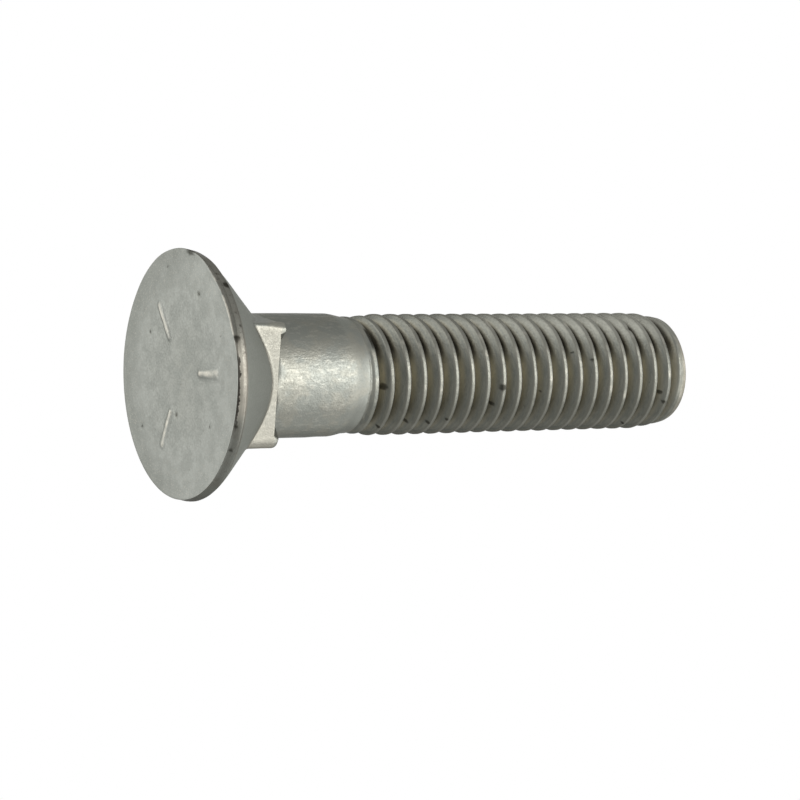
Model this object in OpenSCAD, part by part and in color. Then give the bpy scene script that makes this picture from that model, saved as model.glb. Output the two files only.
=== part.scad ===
/* [Head] */
// Diameter of the head at its rim
head_d = 25.4; // [20:0.1:40]
// Height of the blunt land round the rim, from the flat face to the start of the cone
rim_h = 0.95; // [0.5:0.05:2.5]
// Radius on the outer corner of the face
rim_r = 0.3; // [0.1:0.05:0.45]
// Included angle of the countersunk cone
cone_angle = 90; // [70:1:110]

/* [Square neck] */
// Width of the square neck across its flats
neck_w = 12.9; // [10:0.1:16]
// Length of flat left showing between the cone and the end of the neck
neck_show = 1.25; // [0.4:0.05:6]
// Rounding of the neck's four long corners
neck_corner_r = 0.75; // [0.2:0.05:1.5]
// Bevel on the ends of the neck's corners
neck_bevel = 0.5; // [0.2:0.05:1]

/* [Shank] */
// Diameter of the plain shank
shank_d = 12.85; // [10.5:0.05:15.5]
// Length of plain shank from the end of the neck to the shoulder
shank_len = 8.45; // [4:0.05:30]
// Length of the shoulder that falls from the shank to the size of the rolled blank
shoulder_len = 1.9; // [0.5:0.1:5]

/* [Thread] */
// Major diameter of the thread
thread_d = 12.7; // [10.5:0.05:15.5]
// Pitch of the thread, 13 to the inch
thread_pitch = 1.954; // [1:0.001:2.5]
// Length over which the first turn rises from the blank to full height
run_in_len = 1.2; // [0.5:0.1:3]

/* [Point] */
// Overall length from the flat face to the end of the thread
bolt_len = 59.7; // [40:0.1:120]
// Length of the pointed end, over which the last turns lose their crests
point_len = 3.4; // [2:0.1:6]
// Depth by which the pointed end falls below the major diameter
point_drop = 0.6; // [0.2:0.05:2]
// Radius between the pointed end and the end face
point_r = 0.9; // [0.3:0.1:1.5]

/* [Hidden] */
$fn = 96;
eps = 0.01;

// Heights above the flat face, in the order in which the bolt is formed
cone_slope = tan(cone_angle / 2);
neck_top = rim_h + (head_d - neck_w) / 2 / cone_slope + neck_show;
shank_top = neck_top + shank_len;
thread_bottom = shank_top + shoulder_len + run_in_len;
thread_top = bolt_len - point_len;
point_top = bolt_len - point_r;

// A rolled thread is formed on a blank of the pitch diameter, which is 0.6495 pitch under the major.
blank_d = thread_d - 0.6495 * thread_pitch;
// Radius of the pointed end where its end radius starts
point_end_r = thread_d / 2 - point_drop;
// The cone runs on inside the shank, down to half the shank's radius.
cone_end_r = shank_d / 4;
cone_end_z = rim_h + (head_d / 2 - cone_end_r) / cone_slope;
// Radius that the neck's rounded corners reach from the axis
neck_reach = (neck_w / 2 - neck_corner_r) * sqrt(2) + neck_corner_r;

// Points of an arc about [x, y] with radius r, from angle a0 to angle a1
function arc(x, y, r, a0, a1, steps = 8) =
    [for (i = [0:steps]) let (a = a0 + (a1 - a0) * i / steps) [x + r * cos(a), y + r * sin(a)]];

// Square section with four round corners
module rounded_square(w, r) {
    square([w, w - 2 * r], center = true);
    square([w - 2 * r, w], center = true);
    for (x = [-1, 1], y = [-1, 1])
        translate([x * (w / 2 - r), y * (w / 2 - r)])
            circle(r = r);
}

// Flat round head with a blunt rim and a countersunk cone behind it
module head() {
    rotate_extrude()
        polygon(concat(
            [[0, 0]],
            arc(head_d / 2 - rim_r, rim_r, rim_r, -90, 0),
            [[head_d / 2, rim_h], [cone_end_r, cone_end_z], [0, cone_end_z]]
        ));
}

// Short square neck that keys the bolt in a square hole, with bevelled corner ends
module neck() {
    intersection() {
        translate([0, 0, rim_h])
            linear_extrude(neck_top - rim_h)
                rounded_square(neck_w, neck_corner_r);
        rotate_extrude()
            polygon([
                [0, 0],
                [neck_reach + eps, 0],
                [neck_reach + eps, neck_top - neck_bevel],
                [neck_reach - neck_bevel, neck_top + eps],
                [0, neck_top + eps]
            ]);
    }
}

// Plain shank, shoulder, thread at its major diameter and pointed end, as one turned profile
module shank_and_thread() {
    rotate_extrude()
        polygon(concat(
            [
                [0, rim_h],
                [shank_d / 2, rim_h],
                [shank_d / 2, shank_top],
                [blank_d / 2, shank_top + shoulder_len],
                [thread_d / 2, thread_bottom],
                [thread_d / 2, thread_top]
            ],
            arc(point_end_r - point_r, point_top, point_r, 0, 90),
            [[0, bolt_len]]
        ));
}

// The whole bolt: one piece of steel, headed, squared and rolled from bar
module plow_bolt() {
    color([0.56, 0.57, 0.54]) {
        head();
        neck();
        shank_and_thread();
    }
}

plow_bolt();
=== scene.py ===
import math

import bmesh
import bpy
from mathutils import Matrix, Vector, noise


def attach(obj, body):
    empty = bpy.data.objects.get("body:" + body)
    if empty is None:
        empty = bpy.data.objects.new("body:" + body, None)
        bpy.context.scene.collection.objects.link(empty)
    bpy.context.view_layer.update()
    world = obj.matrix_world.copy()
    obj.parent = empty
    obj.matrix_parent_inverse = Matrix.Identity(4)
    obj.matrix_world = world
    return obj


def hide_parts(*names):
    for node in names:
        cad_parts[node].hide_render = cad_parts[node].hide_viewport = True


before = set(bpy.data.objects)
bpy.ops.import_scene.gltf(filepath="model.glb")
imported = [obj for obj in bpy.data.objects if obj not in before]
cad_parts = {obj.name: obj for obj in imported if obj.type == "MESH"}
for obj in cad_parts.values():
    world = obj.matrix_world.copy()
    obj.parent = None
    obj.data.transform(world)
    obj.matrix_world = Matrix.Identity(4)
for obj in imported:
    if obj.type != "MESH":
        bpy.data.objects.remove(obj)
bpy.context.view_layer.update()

# ======================================================================================================
# The bolt. One forging: a steel bar, headed in a round die, squared under the head, rolled with a 1/2-13
# thread and coated with what looks like zinc. It is one closed skin, made here in millimetres from rings of
# points that climb from the middle of the head's face to the middle of the point's end.
# ======================================================================================================
MM = 0.001
COLUMNS = 180
CROWDING = 0.11  # how much closer together the columns stand at the four corners of the neck

column_turns = []
for j in range(COLUMNS):
    even = 2 * math.pi * j / COLUMNS
    column_turns.append(even + CROWDING * math.sin(4 * even))
columns = [(math.cos(a), math.sin(a)) for a in column_turns]

bolt_mesh = bmesh.new()
wear_and_highlight = bolt_mesh.verts.layers.float.new("wear_and_highlight")  # how far each point is rubbed bright, or brightened as a painted highlight, from 0 to 1
dirt_and_shade = bolt_mesh.verts.layers.float.new("dirt_and_shade")  # how dirty it is, or darkened as painted shade beside the first crest, from 0 to 1
rim = bolt_mesh.verts.layers.float.new("rim")  # 1 on the head's rim
rings = []


def smooth_step(low, high, x):
    t = min(1.0, max(0.0, (x - low) / (high - low)))
    return t * t * (3 - 2 * t)


def lumps(x, y, z, size, seed):
    """Smooth bumps from -1 to 1, size millimetres across."""
    return noise.noise(Vector((x / size + seed, y / size - seed, z / size + 0.37 * seed)))


def lumps_round(a, r, z, size, seed):
    """The same bumps at an angle on a circle of radius r."""
    return lumps(r * math.cos(a), r * math.sin(a), z, size, seed)


def degrees_from(a, centre):
    """How far an angle stands from centre, either way round. centre is in degrees."""
    return abs(math.degrees(math.remainder(a - math.radians(centre), 2 * math.pi)))


# The head is struck a little off the shank's line in x and y, and its face a little further. Most of the
# head's offset is gone a little above the rim, and the rest fades out up the shank.
HEAD_OFFSET = (-0.24, 0.042)
FACE_OFFSET = (-0.096, 0.127)


def head_shift(z):
    face = 1 - smooth_step(0.05, 0.7, z)
    rest = 0.8 * (1 - smooth_step(0.45, 1.5, z)) + 0.25 * (1 - smooth_step(12.0, 18.0, z))
    return [head * rest + more * face for head, more in zip(HEAD_OFFSET, FACE_OFFSET)]


FLAT_SIDE, FLAT_SIDE_AT, FLAT_SIDE_SPREAD = 0.15, 118, 22  # its depth, and its place and spread in degrees


def flat_side(a):
    """How far one side of the head falls short of round."""
    return FLAT_SIDE * math.exp(-((math.degrees(a) - FLAT_SIDE_AT) / FLAT_SIDE_SPREAD) ** 2)


def add_ring(radius_and_height):
    """One ring of points. radius_and_height gives both for a column's angle."""
    ring = []
    for a, (c, s) in zip(column_turns, columns):
        r, z = radius_and_height(a)
        dx, dy = head_shift(z)
        ring.append(bolt_mesh.verts.new(((r * c + dx) * MM, (r * s + dy) * MM, z * MM)))
    rings.append(ring)


# ---- Head: a face as the die left it, a little hollow, with a few pits and three plain raised dashes,
# and a blunt rim whose corner is knocked back on one side.
HEAD_R = 12.74
HOLLOW = 0.15
FACE_RINGS = 50
FLAT_EDGE = 0.955  # share of the face's radius from which it runs out level
RIM_R = 0.05  # the corner between face and rim
LAND_TOP = 0.78  # the upright part of the rim
FORGED_LUMPS, FORGED_GRAIN = 0.02, 0.008  # the face's unevenness, 3.2 mm and 0.9 mm across
pits = [  # x, y, radius and depth
    (-8.6, -2.85, 0.3, 0.16), (-10.45, 4.0, 0.24, 0.1), (4.25, 0.35, 0.24, 0.12), (10.95, -2.5, 0.22, 0.12),
    (4.15, -7.1, 0.2, 0.08), (-3.25, 7.2, 0.25, 0.1), (6.75, 7.7, 0.22, 0.1), (-5.15, -8.3, 0.18, 0.08),
]
PIT_REACH = 2.5  # in radii
DASH_ANGLES = [math.radians(a) for a in (20, 140, 260)]
DASH_FROM, DASH_TO, DASH_HEIGHT, DASH_RAGGED = 4.4, 8.2, 0.14, 0.12
DASH_TOP, DASH_WORN, DASH_FOOT = 0.15, 0.4, 0.6  # half the width of its top, its worn part and its foot


def from_dash(x, y, a):
    """How far a place on the face stands from the middle line of the dash at an angle."""
    along = x * math.cos(a) + y * math.sin(a)
    across = abs(y * math.cos(a) - x * math.sin(a))
    return math.hypot(across, max(DASH_FROM - along, along - DASH_TO, 0.0))


def face_depth(x, y):
    """How far the face lies above its own plane, which only goes inwards."""
    depth = HOLLOW * (1 - (math.hypot(x, y) / HEAD_R) ** 2)
    depth += FORGED_LUMPS * (1 + lumps(x, y, 0, 3.2, 4.1)) + FORGED_GRAIN * lumps(x, y, 0, 0.9, 9.7)
    for pit_x, pit_y, pit_r, pit_depth in pits:
        d = math.hypot(x - pit_x, y - pit_y) / pit_r
        if d < PIT_REACH:
            depth += pit_depth * math.exp(-d * d)
    for a in DASH_ANGLES:
        d = from_dash(x, y, a) + DASH_RAGGED * lumps(x, y, 0, 1.3, 3.3)
        depth -= DASH_HEIGHT * (1 - smooth_step(DASH_TOP, DASH_FOOT, d))
    return max(0.0, depth)


BEVEL_AT, BEVEL_FULL, BEVEL_NONE = -136, 13, 32  # its place, and how far round it goes, in degrees
BEVEL_IN, BEVEL_UP = 0.3, 0.26


def bevel(a):
    """How far the corner of the face is knocked back, from 0 to 1."""
    return 1 - smooth_step(BEVEL_FULL, BEVEL_NONE, degrees_from(a, BEVEL_AT))


for k in range(1, FACE_RINGS + 1):
    share = k / FACE_RINGS

    def on_face(a):
        r = (HEAD_R - RIM_R - BEVEL_IN * bevel(a) - flat_side(a)) * share
        return r, (1 - smooth_step(FLAT_EDGE, 1.0, share)) * face_depth(r * math.cos(a), r * math.sin(a))
    add_ring(on_face)


RIM_LUMPS = 0.03


def rim_wear(a, z):
    """How far the rim stands out of a true round, or in from it where that is less than 0."""
    return RIM_LUMPS * (lumps_round(a, 6, z, 1.1, 2.2) - 0.4) - flat_side(a)


CORNER_RINGS = 6
for k in range(1, CORNER_RINGS + 1):
    share = k / CORNER_RINGS
    turn = math.radians(90 * share)

    def on_corner(a):
        knocked = bevel(a)
        out = (1 - knocked) * math.sin(turn) + knocked * share
        up = (1 - knocked) * (1 - math.cos(turn)) + knocked * share
        short = (RIM_R + BEVEL_IN * knocked + flat_side(a)) * (1 - out)
        return HEAD_R - short + rim_wear(a, 0.0) * out, (RIM_R + BEVEL_UP * knocked) * up
    add_ring(on_corner)
for share in (0.14, 0.26, 0.38, 0.5, 0.66, 0.82, 1.0):

    def on_land(a):
        low = RIM_R + BEVEL_UP * bevel(a)
        z = low + (LAND_TOP - low) * share
        return HEAD_R + rim_wear(a, z), z
    add_ring(on_land)

# The dashes are rubbed bright. The edge of the face is brighter where its corner is knocked back, partly
# rubbed and partly a painted highlight.
face_x, face_y = head_shift(0)
for ring in rings[:FACE_RINGS]:
    for point in ring:
        x, y = point.co.x / MM - face_x, point.co.y / MM - face_y
        speckle = 0.6 + 0.6 * lumps(x, y, 0, 0.9, 2.8)
        for a in DASH_ANGLES:
            rubbed = 1 - smooth_step(DASH_WORN / 2, DASH_WORN, from_dash(x, y, a))
            point[wear_and_highlight] = max(point[wear_and_highlight], speckle * rubbed)
EDGE_R = 12.6
EDGE_WORN_AT, EDGE_WORN_FULL, EDGE_WORN_NONE = -134, 16, 24  # in degrees, as for the bevel
for ring, share in ((rings[FACE_RINGS - 1], 1.0), (rings[FACE_RINGS], 0.8)):
    for a, point in zip(column_turns, ring):
        uneven = lumps_round(a, EDGE_R, 0, 0.7, 5.1) + 0.5 * lumps_round(a, EDGE_R, 0, 2.2, 1.4)
        rubbed = 1 - smooth_step(EDGE_WORN_FULL, EDGE_WORN_NONE, degrees_from(a, EDGE_WORN_AT))
        point[wear_and_highlight] = share * smooth_step(-0.6, 0.25, uneven) * (0.15 + 0.85 * rubbed)

UPPER_CORNER_R, UPPER_CORNER_Z = 0.3, 0.82  # the corner between rim and cone, and where it starts
for turn in [math.radians(b) for b in (8, 22, 37)]:
    add_ring(lambda a: (HEAD_R - UPPER_CORNER_R * (1 - math.cos(turn)) + rim_wear(a, LAND_TOP),
                        UPPER_CORNER_Z + UPPER_CORNER_R * math.sin(turn)))
for ring in rings[FACE_RINGS:]:
    for point in ring:
        point[rim] = 1.0

# ---- Cone and neck: a cone of 90 degrees runs down onto a square of 12.9 mm with rounded corners. The
# flats stop where the bar's own round takes over, and the corners stand a little further along it.
CONE_EDGE = 0.95  # height at which the cone's own line would meet the head's radius
CONE_START = 1.02
CONE_RINGS = 22
CONE_SWELL, CONE_LUMPS = 0.07, 0.03
SHANK_R = 6.425
NECK_HALF = 6.45
FLAT_TOP = 7.85
FILLET = 0.25
NECK_LUMPS = 0.012
END_SLOPE, END_RISE = 0.06, 0.03  # how the neck's end rises from its outside to the shank
# Its four corners, by the signs of x and y: the corner's radius, the distances from the middle between
# which it starts to stand further along, the height it ends at, and the wear of that end. The steel
# filled one corner better than the rest.
neck_corners = {
    (-1, -1): {"radius": 0.25, "starts": 8.46, "full": 8.56, "top": 8.45, "wear": 0.12},
    (1, -1): {"radius": 1.0, "starts": 8.22, "full": 8.5, "top": 8.5, "wear": 0.45},
    (1, 1): {"radius": 0.85, "starts": 8.3, "full": 8.6, "top": 8.45, "wear": 0.45},
    (-1, 1): {"radius": 0.7, "starts": 8.4, "full": 8.7, "top": 8.4, "wear": 0.45},
}


def neck_corner(a):
    return neck_corners[1 if math.cos(a) > 0 else -1, 1 if math.sin(a) > 0 else -1]


def neck_radius(a):
    """Distance from the middle to the side of the square, round its corners."""
    c, s = abs(math.cos(a)), abs(math.sin(a))
    c, s = max(c, s), min(c, s)
    corner_r = neck_corner(a)["radius"]
    inner = NECK_HALF - corner_r
    if NECK_HALF * s / c <= inner:
        return NECK_HALF / c
    along = inner * (c + s)
    return along + math.sqrt(along * along - 2 * inner * inner + corner_r ** 2)


def cone_meets_neck(a):
    return CONE_EDGE + HEAD_R - neck_radius(a)


def neck_end(a):
    """Height at which the neck ends: lower at its flats, higher at its corners."""
    corner = neck_corner(a)
    share = smooth_step(corner["starts"], corner["full"], neck_radius(a))
    return FLAT_TOP + (corner["top"] - FLAT_TOP) * share


CORNER_FALL = 0.25  # how far a sharp corner of the neck falls away towards its end


def side_at_end(a):
    """Distance from the middle to the neck's side at its end."""
    return neck_radius(a) - CORNER_FALL * smooth_step(8.75, 9.0, neck_radius(a))


def end_corner(a):
    """Radius of the worn corner where the neck ends, larger at its four corners."""
    return 0.08 + neck_corner(a)["wear"] * smooth_step(8.0, 8.7, neck_radius(a))


def neck_step(a):
    """How far the neck stands out of the shank."""
    return max(0.02, neck_radius(a) - SHANK_R)


def end_corner_in(a):
    """How far that worn corner takes the side in, which is less where the neck's step is small."""
    return min(end_corner(a), 0.6 * neck_step(a))


for k in range(1, CONE_RINGS + 1):
    share = k / CONE_RINGS

    def on_cone(a):
        z = CONE_START + (cone_meets_neck(a) - FILLET - CONE_START) * share
        r = HEAD_R - (z - CONE_EDGE) + CONE_SWELL * smooth_step(0.0, 0.3, share) * (1 - share)
        return r + CONE_LUMPS * lumps_round(a, 9, z, 2.4, 7.3) - flat_side(a) * (1 - share) ** 3, z
    add_ring(on_cone)
for share in (0.25, 0.5, 0.75, 1.0):
    add_ring(lambda a: (neck_radius(a) + FILLET * (1 - share) ** 2,
                        cone_meets_neck(a) - FILLET + 2 * FILLET * share))
for share in (0.15, 0.3, 0.45, 0.6, 0.75, 0.9, 1.0):

    def on_flat(a):
        low = cone_meets_neck(a) + FILLET
        z = low + (neck_end(a) - end_corner(a) - low) * share
        r = neck_radius(a) + (side_at_end(a) - neck_radius(a)) * share
        return r + NECK_LUMPS * lumps_round(a, 6, z, 1.7, 3.9), z
    add_ring(on_flat)
for turn in [math.radians(b) for b in (22, 45, 68, 90)]:
    add_ring(lambda a: (side_at_end(a) - end_corner_in(a) * (1 - math.cos(turn)),
                        neck_end(a) - end_corner(a) * (1 - math.sin(turn))))
for share in (0.35, 0.7, 1.0):

    def on_end_face(a):
        outer = side_at_end(a) - end_corner_in(a)
        rise = END_SLOPE * neck_step(a) + END_RISE
        return outer + (SHANK_R - outer) * share, neck_end(a) + rise * share
    add_ring(on_end_face)

# ---- Shank: the plain round of the bar, and a shoulder that falls towards the size it is rolled at.
SHANK_TOP = 16.8
SHOULDER_R = 6.04
THREAD_START = 18.88
LEVEL = 9.35  # from here the rings no longer follow the neck's end
BLEND_RINGS, LEVEL_RINGS = 4, 32
LEANER = 0.08  # what the bar lacks on its +X side, from a little before the shoulder
BAR_LUMPS = 0.014


def bar_radius(z):
    """The shank's radius, or the shoulder's, whose two ends are slightly rounded."""
    share = min(1.0, max(0.0, (z - SHANK_TOP) / (THREAD_START - SHANK_TOP)))
    blend = 0.6 * share + 0.4 * smooth_step(0.0, 1.0, share)
    return SHANK_R - (SHANK_R - SHOULDER_R) * blend


def on_bar(a, z):
    leaner = LEANER * max(0.0, math.cos(a)) * smooth_step(14.0, 15.8, z) * (1 - smooth_step(18.2, 18.8, z))
    uneven = BAR_LUMPS * lumps_round(a, 6.4, z, 1.9, 5.5) * (1 - smooth_step(17.0, 18.6, z))
    return bar_radius(z) - leaner + uneven, z


for k in range(1, BLEND_RINGS + 1):

    def on_bar_near_neck(a):
        low = neck_end(a) + 0.3
        return on_bar(a, low + (LEVEL - low) * k / BLEND_RINGS)
    add_ring(on_bar_near_neck)
level_heights = [LEVEL + (THREAD_START - LEVEL) * k / LEVEL_RINGS for k in range(1, LEVEL_RINGS)]
for z in level_heights + [THREAD_START - 0.05, THREAD_START]:
    add_ring(lambda a: on_bar(a, z))

# ---- Thread: rolled, 13 turns to the inch, with a rounded crest and root. It starts as a shallow groove
# in the shoulder and runs out on the point. Its rings follow the helix.
PITCH = 1.954
THREAD_R = 6.35
GROOVE = 1.13
FIRST_CREST_R = 6.11
FIRST_CREST_Z = 19.45 + PITCH * 100 / 360  # on the +X side, 100 degrees on from where it is 19.45 mm up
LAST_GROOVE_END = 58.08
THREAD_END = 58.6
POINT_START, POINT_R, POINT_TAPER = 55.6, 6.36, 0.17
FLANK_R = 6.2  # a middling radius, for the places of bumps and knocks
THREAD_LUMPS = 0.016
CREST_HALF, ROOT = 0.112, 0.44  # shares of the pitch from a crest. The flank below a crest is the longer one
phases = [-0.5, -0.41, -0.32, -0.24, -0.175, -0.13, -0.09, -0.05, 0.0, 0.05, 0.09, 0.13, 0.2, 0.3, 0.4,
          0.432, 0.44, 0.448]


def groove_share(phase):
    """How deep the thread's own section is at a share of the pitch from a crest, from 0 to 1."""
    if phase > ROOT:
        return 1 - (phase - ROOT) / (1 - ROOT - CREST_HALF)
    ease, width = (0.05, 1 - ROOT - CREST_HALF) if phase < 0 else (0.2, ROOT - CREST_HALF)
    x = (abs(phase) - CREST_HALF) / width
    return max(0.0, x + ease) ** 2 / (4 * ease) if x < ease else x


thread_nicks = [  # places where the crests were knocked: height, degrees and size
    (25.85, -149, 0.35), (52.6, -147, 0.4), (39.4, -104, 0.25), (47.4, -118, 0.25),
]


def point_radius(z):
    return POINT_R - POINT_TAPER * max(0.0, z - POINT_START)


def crest_radius(z):
    """The crests rise out of the shoulder, the first one being low, and fall again on the point."""
    r = FIRST_CREST_R + (THREAD_R - FIRST_CREST_R) * smooth_step(20.0, 22.4, z)
    return min(r, point_radius(z))


def thread_radius(a, z, phase):
    formed = 0.32 + 0.68 * smooth_step(19.5, 20.4, z)
    top = crest_radius(z)
    knocks = THREAD_LUMPS * (lumps_round(a, FLANK_R, z, 0.8, 1.3) + lumps_round(a, FLANK_R, z, 2.6, 6.1))
    for nick_z, nick_angle, size in thread_nicks:
        if abs(z - nick_z) < 2 * size:
            along = FLANK_R * math.radians(degrees_from(a, nick_angle))
            knocks -= 0.5 * size * math.exp(-((z - nick_z) ** 2 + along ** 2) / size ** 2)
    room = max(0.0, 1.25 * (LAST_GROOVE_END - z))  # the last groove's floor climbs to the point's corner
    groove = min((GROOVE - (THREAD_R - top) * 0.4) * formed * groove_share(phase), room)
    return top - groove + knocks * formed * min(1.0, room)


# The helix has two turns to spare below and some above. Where they would pass the thread's ends, their
# points are the start ring's or the end ring's own.
SPARE_BELOW, SPARE_TURNS = 2, 5
NEAR_END = 0.03
start_ring = rings[-1]
end_r = point_radius(THREAD_END)
end_ring = [bolt_mesh.verts.new((end_r * c * MM, end_r * s * MM, THREAD_END * MM)) for c, s in columns]
helix_rows = []
turns = int((THREAD_END - THREAD_START) / PITCH) + SPARE_TURNS
for n in range(-SPARE_BELOW, turns - SPARE_BELOW):
    for phase in phases:
        row = []
        for j, (c, s) in enumerate(columns):
            a = column_turns[j]
            z = FIRST_CREST_Z + PITCH * (n + phase + a / (2 * math.pi) - 1)
            z += 0.17 * (1 - smooth_step(19.6, 21.2, z))  # the first crest starts late
            if z < THREAD_START + NEAR_END:
                row.append(start_ring[j])
            elif z > THREAD_END - NEAR_END:
                row.append(end_ring[j])
            else:
                r = thread_radius(a, z, phase)
                x, y = r * c, r * s
                point = bolt_mesh.verts.new((x * MM, y * MM, z * MM))
                # The crests are partly rubbed bright and partly given a painted highlight, which fades out
                # towards the +X side.
                rubbed = lumps(x, y, z, 0.9, 4.7) * (1 - smooth_step(0.08, 0.14, abs(phase)))
                point[wear_and_highlight] = max(0.0, 0.65 * rubbed * (1 - smooth_step(1.0, 3.2, x)))
                point[dirt_and_shade] = max(0.0, -0.5 * rubbed)
                if n == 0 and -0.02 < phase < 0.21:  # painted shade in the pocket beside the first crest, on its -X side
                    gathered = smooth_step(-2.6, -4.5, x) * (1 - smooth_step(-4.9, -5.9, x))
                    point[dirt_and_shade] = 0.9 * gathered if s < 0 else 0.0
                row.append(point)
        helix_rows.append(row)


def add_face(points):
    """A face between points, of which neighbours may be one and the same."""
    around = [p for i, p in enumerate(points) if p is not points[i - 1]]
    if len(set(around)) > 2:
        bolt_mesh.faces.new(around)


rows_per_turn = len(phases)
for k, (low, high) in enumerate(zip(helix_rows, helix_rows[1:])):
    for j in range(COLUMNS - 1):
        add_face([low[j], low[j + 1], high[j + 1], high[j]])
    if k + rows_per_turn + 1 < len(helix_rows):
        next_low, next_high = helix_rows[k + rows_per_turn], helix_rows[k + rows_per_turn + 1]
        add_face([low[-1], next_low[0], next_high[0], high[-1]])

# ---- Point: the last turns fall away and the bar ends in a rounded corner and a sheared, faintly
# dished face that leans a little.
BOLT_LENGTH = 59.55
END_R = 1.1
END_LEAN, END_LEAN_R = 0.07, 5  # its slope, and the radius that the corner's own lean is taken at
END_DISH, END_LUMPS = 0.22, 0.03
END_RINGS = 22
CORNER_FROM = math.radians(10)  # how far round its corner the taper meets it
lower_rings = rings
rings = [end_ring]
for turn in [math.radians(b) for b in (24, 38, 52, 65, 78, 90)]:
    up = (math.sin(turn) - math.sin(CORNER_FROM)) / (1 - math.sin(CORNER_FROM))
    add_ring(lambda a: (end_r - END_R * (1 - math.cos(turn) / math.cos(CORNER_FROM)),
                        THREAD_END + (BOLT_LENGTH + END_LEAN * END_LEAN_R * math.cos(a) - THREAD_END) * up))
flat_r = end_r - END_R
for k in range(1, END_RINGS):
    r = flat_r * (1 - k / END_RINGS)

    def on_end(a):
        dish = END_DISH * smooth_step(flat_r, flat_r - 1.6, r)
        dish += END_LUMPS * (1 + lumps_round(a, r, 0, 1.6, 8.8)) * smooth_step(flat_r, flat_r - 0.8, r)
        return r, BOLT_LENGTH + END_LEAN * r * math.cos(a) - dish
    add_ring(on_end)
for ring in rings[:3]:
    for point in ring:
        point[wear_and_highlight] = 0.35 + 0.3 * lumps(point.co.x / MM, point.co.y / MM, 0, 1.2, 3.1)
upper_rings = rings

# ---- The skin is closed over the rings, and oil and dirt stick where they have gathered
for group in (lower_rings, upper_rings):
    for low, high in zip(group, group[1:]):
        for j in range(COLUMNS):
            add_face([low[j - 1], low[j], high[j], high[j - 1]])
face_middle = bolt_mesh.verts.new((face_x * MM, face_y * MM, (HOLLOW + FORGED_LUMPS) * MM))
end_middle = bolt_mesh.verts.new((0, 0, (BOLT_LENGTH - END_DISH - END_LUMPS) * MM))
for j in range(COLUMNS):
    add_face([face_middle, lower_rings[0][j], lower_rings[0][j - 1]])
    add_face([end_middle, upper_rings[-1][j - 1], upper_rings[-1][j]])
for face in bolt_mesh.faces:
    face.smooth = True
bmesh.ops.recalc_face_normals(bolt_mesh, faces=bolt_mesh.faces)

rim_dirt = [  # x, y, z, size and strength
    (-10.56, -7.41, 0.73, 0.44, 0.95), (-10.85, -6.6, 0.2, 0.2, 0.85), (-5.8, -11.27, 0.2, 0.4, 0.9),
    (-12.93, -0.26, 0.06, 0.5, 0.8), (-12.88, -0.85, 0.06, 0.4, 0.75), (-12.8, -1.45, 0.08, 0.3, 0.7),
    (-7.09, -10.7, 0.81, 0.22, 0.8), (-8.2, -9.88, 0.62, 0.2, 0.6),
    (2.83, -12.19, 0.24, 0.24, 0.8), (5.21, -11.38, 0.31, 0.3, 0.75), (4.1, -11.8, 0.3, 0.16, 0.7),
]
thread_dirt = [  # height, degrees and size
    (20.7, -87, 0.42), (35.0, -85.5, 0.42), (34.45, -65.1, 0.3), (46.43, -111, 0.2), (44.2, -119.8, 0.17),
    (55.92, -75.1, 0.3), (56.47, -65.8, 0.25), (24.83, -40.9, 0.28), (27.18, -44.8, 0.24),
    (29.23, -50.1, 0.2), (52.73, -34.1, 0.22), (40.26, -78.1, 0.17), (21.46, -39.2, 0.24),
]
PIT_DIRT, THREAD_DIRT = 0.7, 0.85  # strength
SPOT_FULL, SPOT_NONE = 0.45, 1.5  # how far a spot is full, and where it ends, in its own size
DIRT_R = 5.9  # a spot in the thread is as wide on the crests as in the roots, so it is placed at one radius
dirt = [(x + face_x, y + face_y, 0.2, 1.1 * size, PIT_DIRT) for x, y, size, _ in pits] + rim_dirt
for z, angle, size in thread_dirt:
    a = math.radians(angle)
    dirt.append((DIRT_R * math.cos(a), DIRT_R * math.sin(a), z, size, THREAD_DIRT))
for point in bolt_mesh.verts:
    x, y, z = point.co / MM
    if z > SHANK_TOP:
        inwards = DIRT_R / max(1.0, math.hypot(x, y))
        x, y = inwards * x, inwards * y
    for dirt_x, dirt_y, dirt_z, size, strength in dirt:
        if abs(z - dirt_z) < SPOT_NONE * size:
            d = math.sqrt((x - dirt_x) ** 2 + (y - dirt_y) ** 2 + (z - dirt_z) ** 2) / size
            point[dirt_and_shade] = max(point[dirt_and_shade], strength * (1 - smooth_step(SPOT_FULL, SPOT_NONE, d)))
foot_outline = [(point.co.x, point.co.y) for point in lower_rings[FACE_RINGS + 5]]


def into_scene(name, mesh):
    """A finished mesh as an object in the scene."""
    data = bpy.data.meshes.new(name)
    mesh.to_mesh(data)
    mesh.free()
    made = bpy.data.objects.new(name, data)
    bpy.context.scene.collection.objects.link(made)
    return made


bolt = into_scene("zinc_coated_bolt", bolt_mesh)


# ---- Zinc coating: zinc plated on steel, gone dull. It gives the eye a soft grey sheen with a fine speckle,
# browner down in the thread, pale where it is rubbed and dark where oil and dirt have stuck. Painted shade
# darkens some sides and hollows, and painted highlights brighten the crests and the thread's -X side.
def linear(hex_colour):
    """A colour written as sRGB hex, as the linear values that Blender works in."""
    parts = [int(hex_colour[i:i + 2], 16) / 255 for i in (1, 3, 5)]
    return [p / 12.92 if p <= 0.04045 else ((p + 0.055) / 1.055) ** 2.4 for p in parts] + [1.0]


def add_node(tree, kind, settings, inputs):
    """A node with its settings. Each input is a plain value, or another node's output."""
    node = tree.nodes.new(kind)
    for name, value in settings.items():
        setattr(node, name, value)
    for socket, value in inputs.items():
        if isinstance(value, bpy.types.NodeSocket):
            tree.links.new(value, node.inputs[socket])
        else:
            node.inputs[socket].default_value = value
    return node


def empty_tree(owner):
    """The node tree of a material or world, with nothing in it yet."""
    owner.use_nodes = True
    owner.node_tree.nodes.clear()
    return owner.node_tree


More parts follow.
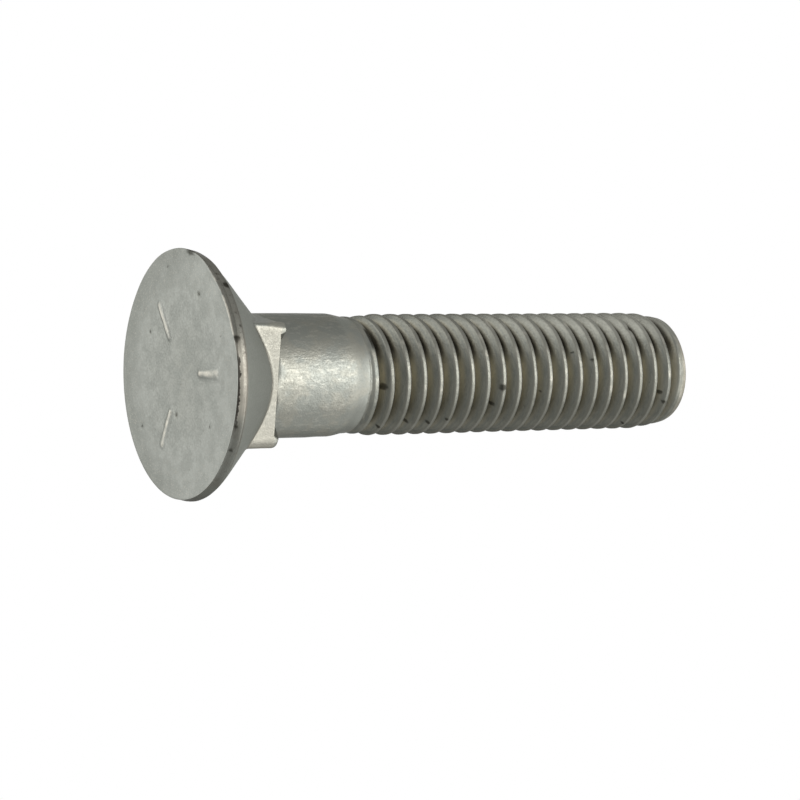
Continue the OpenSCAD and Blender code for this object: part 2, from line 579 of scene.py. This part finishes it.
# A Map Range node takes its value at input 0, the value's two ends at 1 and 2, and what they become at 3
# and 4. A Mix node has its two colours at inputs 6 and 7, and the mixed one at output 2.
MATH, VECTOR_MATH, MAP_RANGE = "ShaderNodeMath", "ShaderNodeVectorMath", "ShaderNodeMapRange"
multiply, multiply_add = {"operation": "MULTIPLY"}, {"operation": "MULTIPLY_ADD"}
maximum, length = {"operation": "MAXIMUM"}, {"operation": "LENGTH"}
smooth = {"interpolation_type": "SMOOTHSTEP"}

zinc = bpy.data.materials.new("dull_zinc_coating")
tree = empty_tree(zinc)
place = add_node(tree, "ShaderNodeTexCoord", {}, {}).outputs["Object"]
in_mm = add_node(tree, VECTOR_MATH, {"operation": "SCALE"}, {0: place, "Scale": 1 / MM}).outputs[0]
axes = add_node(tree, "ShaderNodeSeparateXYZ", {}, {0: in_mm})
across_x, across_y, height = axes.outputs["X"], axes.outputs["Y"], axes.outputs["Z"]
crosswise = add_node(tree, VECTOR_MATH, multiply, {0: in_mm, 1: (1, 1, 0)}).outputs[0]
radius = add_node(tree, VECTOR_MATH, length, {0: crosswise}).outputs["Value"]

# Drawing the bar stretches its marks along it, and rolling draws them out round the thread. Each number is
# how fast the pattern changes that way, where across it is 1.
DRAWN, ROLLED = 0.45, 0.12
drawn = add_node(tree, VECTOR_MATH, multiply, {0: in_mm, 1: (1, 1, DRAWN)}).outputs[0]
out_from_middle = add_node(tree, "ShaderNodeCombineXYZ", {}, {2: radius}).outputs[0]
rolled = add_node(tree, VECTOR_MATH, multiply, {0: crosswise, 1: (ROLLED, ROLLED, 0)}).outputs[0]
rolled = add_node(tree, VECTOR_MATH, {"operation": "ADD"}, {0: rolled, 1: out_from_middle}).outputs[0]

# Uneven tone, at its real sizes: patches of 2.4 mm, mottle of 0.45 mm, rolled streaks of 0.16 mm, and the
# plating's grain, which is near 0.05 mm and is drawn at 0.2 mm so that it shows
tone = {}
for name, vector, size, detail in (
    ("patches", in_mm, 2.4, 3.0), ("mottle", drawn, 0.45, 3.0), ("grain", in_mm, 0.2, 1.0),
    ("streaks", rolled, 0.16, 2.0),
):
    tone[name] = add_node(tree, "ShaderNodeTexNoise", {}, {
        "Vector": vector, "Scale": 1.0 / size, "Detail": detail, "Roughness": 0.6}).outputs["Fac"]

# Distance from the middle along the neck's sides, and a height that wavers with the mottle
WAVER = 0.3
sides = add_node(tree, VECTOR_MATH, {"operation": "ABSOLUTE"}, {0: in_mm}).outputs[0]
sides = add_node(tree, "ShaderNodeSeparateXYZ", {}, {0: sides})
square = add_node(tree, MATH, maximum, {0: sides.outputs["X"], 1: sides.outputs["Y"]}).outputs[0]
wavering = add_node(tree, MATH, multiply_add, {0: tone["mottle"], 1: 2 * WAVER, 2: height}).outputs[0]
wavering = add_node(tree, MATH, {"operation": "SUBTRACT"}, {0: wavering, 1: WAVER}).outputs[0]

# Where things lie, from 0 to 1: each rises from its first value to its second, in millimetres for places.
# Up is the bolt's -X side and down its +X side, as it lies before the camera.
mask = {"rim": add_node(tree, "ShaderNodeAttribute", {"attribute_name": "rim"}, {}).outputs["Fac"]}
for name, value, start, end in (
    ("face", height, 0.35, 0.02), ("on the line", wavering, 0.28, 0.19),
    ("above the land", height, 0.55, 0.8), ("above the rim", height, 1.0, 1.12),
    ("above the cone's foot", height, 3.0, 3.5),
    ("below the flats' end", height, 8.0, 7.8), ("above the neck", height, 8.2, 8.6),
    ("below the shoulder", height, 17.0, 16.4), ("thread", height, 18.75, 19.1),
    ("towards the end", height, 26.0, 57.0),
    ("outer face", radius, 7.0, 11.0), ("face's edge", radius, 8.0, 12.2),
    ("below the crests", radius, 6.26, 6.12), ("deep", radius, 6.0, 5.5), ("at the root", radius, 5.85, 5.45),
    ("within the square", square, 6.8, 6.6), ("out of the square", square, 6.6, 6.8),
    ("flat's edge", across_x, -6.35, -6.1), ("far up", across_x, -4.2, -6.8), ("up", across_x, -3.6, -5.6),
    # from -1.8 to -3.8 in x the thread's roots get painted shade
    ("line's top", across_x, -5.0, -3.8), ("shaded side", across_x, -1.8, -3.8),
    ("line's foot", across_x, 4.4, 1.2), ("down", across_x, 0.8, 2.8), ("further down", across_x, 0.8, 3.2),
    ("not far down", across_x, 5.0, 4.1), ("far side", across_y, -3.0, 3.0),
    ("patchy", tone["patches"], 0.42, 0.6), ("bright", tone["mottle"], 0.52, 0.66),
    ("spotty", tone["mottle"], 0.62, 0.72), ("fleck", tone["grain"], 0.56, 0.68),
    ("streaky", tone["streaks"], 0.35, 0.65),
):
    mask[name] = add_node(tree, MAP_RANGE, smooth, {0: value, 1: start, 2: end}).outputs[0]

# Where each finish lies: where all of its parts do. The line is a painted shadow along the rim's edge with
# the face.
for name, *parts in (
    ("cone", "out of the square", "above the rim"),
    ("patchy face", "face", "patchy"), ("flecked face", "face", "fleck", "outer face"),
    # painted shade on the face's +Y edge
    ("shaded face edge", "face", "face's edge", "far side"),
    ("dirty rim", "rim", "patchy"), ("dirty land", "rim", "spotty"), ("land's end", "rim", "above the land"),
    # painted shade on the rim's -X and +X sides
    ("shaded upper land", "rim", "far up"), ("shaded lower land", "rim", "further down"),
    # the line: a painted shadow along the rim's edge with the face
    ("line", "rim", "on the line", "line's top", "line's foot"),
    ("bar", "within the square", "above the cone's foot", "below the shoulder"),
    ("flat", "bar", "below the flats' end", "flat's edge"), ("glint", "bar", "bright"),
    # painted shade on the shank's top, its -X side
    ("shaded bar top", "bar", "up", "above the neck"),
    ("flank", "thread", "below the crests"), ("low flank", "flank", "deep"),
    # painted shade on the thread's +X side
    ("streaky flank", "flank", "streaky"), ("shaded lower thread", "thread", "down", "not far down"),
    # painted light on the thread's -X side towards the point, and painted shade in its roots on that side
    ("lit upper thread", "thread", "up", "towards the end"), ("root", "thread", "at the root", "shaded side"),
):
    product = mask[parts[0]]
    for part in parts[1:]:
        product = add_node(tree, MATH, multiply, {0: product, 1: mask[part]}).outputs[0]
    mask[name] = product
for name, start, end in (("wear_and_highlight", 0.15, 1.15), ("dirt_and_shade", 0.38, 1.0)):
    amount = add_node(tree, "ShaderNodeAttribute", {"attribute_name": name}, {}).outputs["Fac"]
    amount = add_node(tree, MATH, multiply_add, {0: tone["mottle"], 1: 0.3, 2: amount}).outputs[0]
    mask[name] = add_node(tree, MAP_RANGE, smooth, {0: amount, 1: start, 2: end}).outputs[0]

# Each layer of colour over the last, with how much of it shows. Some are painted shade: on the face's +Y
# edge, the rim's -X and +X sides, the line along the rim, the shank's top, the thread's +X side and its roots
# on the -X side. One is painted light: the thread's -X side towards the point.
skin = linear("#747670")
for name, colour, share in (
    ("patchy", "#7c7b72", 0.7), ("cone", "#767872", 1.0), ("face", "#7c7e79", 1.0),
    ("patchy face", "#868883", 0.7), ("shaded face edge", "#62645f", 0.5), ("flecked face", "#b2b0a6", 0.3),
    ("thread", "#6b6b64", 1.0), ("flank", "#666863", 1.0), ("low flank", "#8d8775", 0.75),
    ("streaky flank", "#7a796f", 0.5), ("shaded lower thread", "#45463f", 0.27), ("lit upper thread", "#8f8f87", 0.75),
    ("shaded bar top", "#5d5f5a", 0.45), ("root", "#24221b", 0.9), ("flat", "#817f76", 0.8),
    ("glint", "#b4b0a4", 0.12), ("rim", "#8d897f", 0.8), ("land's end", "#6d6a62", 0.85),
    ("shaded lower land", "#62645f", 0.88), ("shaded upper land", "#64645e", 0.88), ("dirty rim", "#57534b", 0.3),
    ("dirty land", "#45413a", 0.5), ("line", "#1b1a17", 0.92), ("wear_and_highlight", "#bab6aa", 0.7),
    ("spotty", "#4f4e47", 0.25), ("dirt_and_shade", "#1c1a14", 0.8),
):
    amount = add_node(tree, MATH, multiply, {0: mask[name], 1: share}).outputs[0]
    skin = add_node(tree, "ShaderNodeMix", {"data_type": "RGBA"}, {
        0: amount, 6: skin, 7: linear(colour)}).outputs[2]

# The drawn bar is the roughest to the touch, and the flats that the die pressed are smoother
BUMP_HEIGHT = 0.07 * MM
ups = tone["patches"]
for name, share in (("mottle", 0.66), ("grain", 0.42)):
    ups = add_node(tree, MATH, multiply_add, {0: tone[name], 1: share, 2: ups}).outputs[0]
strength = add_node(tree, MAP_RANGE, {}, {0: mask["bar"], 3: 0.25, 4: 0.72}).outputs[0]
for name, more in (("face", -0.12), ("thread", 0.2), ("flat", -0.3)):
    strength = add_node(tree, MATH, multiply_add, {0: mask[name], 1: more, 2: strength}).outputs[0]
bump = add_node(tree, "ShaderNodeBump", {}, {"Strength": strength, "Distance": BUMP_HEIGHT, "Height": ups})
roughness = add_node(tree, MAP_RANGE, {}, {0: tone["grain"], 1: 0.3, 2: 0.7, 3: 0.37, 4: 0.51}).outputs[0]
for name, more in (("glint", -0.06), ("cone", 0.12)):
    roughness = add_node(tree, MATH, multiply_add, {0: mask[name], 1: more, 2: roughness}).outputs[0]
surface = add_node(tree, "ShaderNodeBsdfPrincipled", {}, {
    "Base Color": skin, "Metallic": 1.0, "Roughness": roughness, "Specular Tint": linear("#a8a8a8"),
    "Normal": bump.outputs["Normal"]})
add_node(tree, "ShaderNodeOutputMaterial", {}, {"Surface": surface.outputs["BSDF"]})
bolt.data.materials.append(zinc)

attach(bolt, "root")
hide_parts("plow_bolt")
for node_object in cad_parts.values():
    node_object.data.materials.clear()
    node_object.data.materials.append(zinc)

# ======================================================================================================
# The floor: a plain pale sheet that shows from above and is clear from below, with a hole that follows
# the foot of the head, so that the underside of the bolt can be seen and lit. Far from the bolt it fades
# into the white room, for the camera alone.
# ======================================================================================================
FLOOR_R, FADE_FROM, FADE_TO = 3.0, 0.1, 0.7  # metres
HOLE_GAP = 0.04 * MM
floor_mesh = bmesh.new()
inner, outer = [], []
for (c, s), (x, y) in zip(columns, foot_outline):
    inner.append(floor_mesh.verts.new((x + HOLE_GAP * c, y + HOLE_GAP * s, 0)))
    outer.append(floor_mesh.verts.new((FLOOR_R * c, FLOOR_R * s, 0)))
for j in range(COLUMNS):
    floor_mesh.faces.new([inner[j - 1], outer[j - 1], outer[j], inner[j]])
floor = into_scene("floor", floor_mesh)

# Matt white paper: an even, shineless white that keeps the bolt's shadow
paper = bpy.data.materials.new("matt_white_paper")
tree = empty_tree(paper)
side = add_node(tree, "ShaderNodeNewGeometry", {}, {})
matt = add_node(tree, "ShaderNodeBsdfDiffuse", {}, {"Color": linear("#e4e4e2")})
clear = add_node(tree, "ShaderNodeBsdfTransparent", {}, {})
place = add_node(tree, "ShaderNodeTexCoord", {}, {}).outputs["Object"]
distance = add_node(tree, VECTOR_MATH, length, {0: place}).outputs["Value"]
far = add_node(tree, MAP_RANGE, smooth, {0: distance, 1: FADE_FROM, 2: FADE_TO}).outputs[0]
ray = add_node(tree, "ShaderNodeLightPath", {}, {})
far = add_node(tree, MATH, multiply, {0: far, 1: ray.outputs["Is Camera Ray"]}).outputs[0]
hidden = add_node(tree, MATH, maximum, {0: side.outputs["Backfacing"], 1: far}).outputs[0]
sheet = add_node(tree, "ShaderNodeMixShader", {}, {0: hidden, 1: matt.outputs[0], 2: clear.outputs[0]})
add_node(tree, "ShaderNodeOutputMaterial", {}, {"Surface": sheet.outputs[0]})
floor.data.materials.append(paper)

# ======================================================================================================
# Light: a white room, which lights the bolt at under a third of the white that it shows, six soft boxes
# round the bolt, the strongest in front and above, and a white card that lies beside the head, facing up.
# ======================================================================================================
ROOM_LIGHT = 0.3
room = bpy.data.worlds.new("white_room")
bpy.context.scene.world = room
tree = empty_tree(room)
ray = add_node(tree, "ShaderNodeLightPath", {}, {})
seen = ray.outputs["Is Camera Ray"]
for kind in ("Is Glossy Ray", "Is Transmission Ray"):
    seen = add_node(tree, MATH, maximum, {0: seen, 1: ray.outputs[kind]}).outputs[0]
level = add_node(tree, MAP_RANGE, {}, {0: seen, 3: ROOM_LIGHT, 4: 1.0}).outputs[0]
white = add_node(tree, "ShaderNodeBackground", {}, {"Color": linear("#ffffff"), "Strength": level})
add_node(tree, "ShaderNodeOutputWorld", {}, {"Surface": white.outputs[0]})

bolt_middle, face_centre, card_centre = Vector((0, 0, 0.026)), Vector((0, 0, 0)), (-0.045, 0.025, 0.001)
for name, lamp_place, aim, width, depth, brightness in (
    # place and size in metres, and the brightness of its face, where white paper is 1
    ("front_soft_box", (-0.13, -0.49, 0.34), bolt_middle, 0.42, 0.42, 5.7),
    ("side_soft_box", (0.25, -0.38, 0.42), bolt_middle, 0.32, 0.45, 2.5),
    ("right_soft_box", (0.42, -0.01, 0.29), bolt_middle, 0.3, 0.3, 0.85),
    ("back_soft_box", (-0.2, 0.38, 0.28), bolt_middle, 0.25, 0.25, 0.8),
    ("top_soft_box", (0.0, 0.0, 0.63), bolt_middle, 0.22, 0.22, 4.4),
    ("face_soft_box", (0.03, 0.48, -0.36), face_centre, 0.3, 0.45, 2.08),
    ("low_white_card", card_centre, Vector(card_centre) + Vector((0, 0, 0.099)), 0.05, 0.1, 1.8),
):
    lamp = bpy.data.lights.new(name, "AREA")
    lamp.shape, lamp.size, lamp.size_y = "RECTANGLE", width, depth
    lamp.energy = brightness * math.pi * width * depth
    box = bpy.data.objects.new(name, lamp)
    box.location = lamp_place
    box.rotation_mode = "QUATERNION"
    box.rotation_quaternion = (box.location - aim).to_track_quat("Z", "Y")
    box.visible_camera = False
    bpy.context.scene.collection.objects.link(box)

# ======================================================================================================
# Camera: a long lens a little below the floor, looking up past the edge of the bolt's face, and rolled so
# that the bolt lies across the picture.
# ======================================================================================================
lens = bpy.data.cameras.new("camera")
lens.sensor_width, lens.lens = 36.0, 137.6
lens.clip_start, lens.clip_end = 0.01, 20.0
camera = bpy.data.objects.new("camera", lens)
right = Vector((-0.07428, -0.5117, 0.85595))
back = Vector((-0.15801, -0.84145, -0.51673))
turned = Matrix((right, back.cross(right), back)).transposed().to_4x4()
camera.matrix_world = Matrix.Translation(Vector((-0.0482, -0.2714, -0.1404))) @ turned
bpy.context.scene.collection.objects.link(camera)
bpy.context.scene.camera = camera
bpy.context.scene.view_settings.view_transform = "Standard"
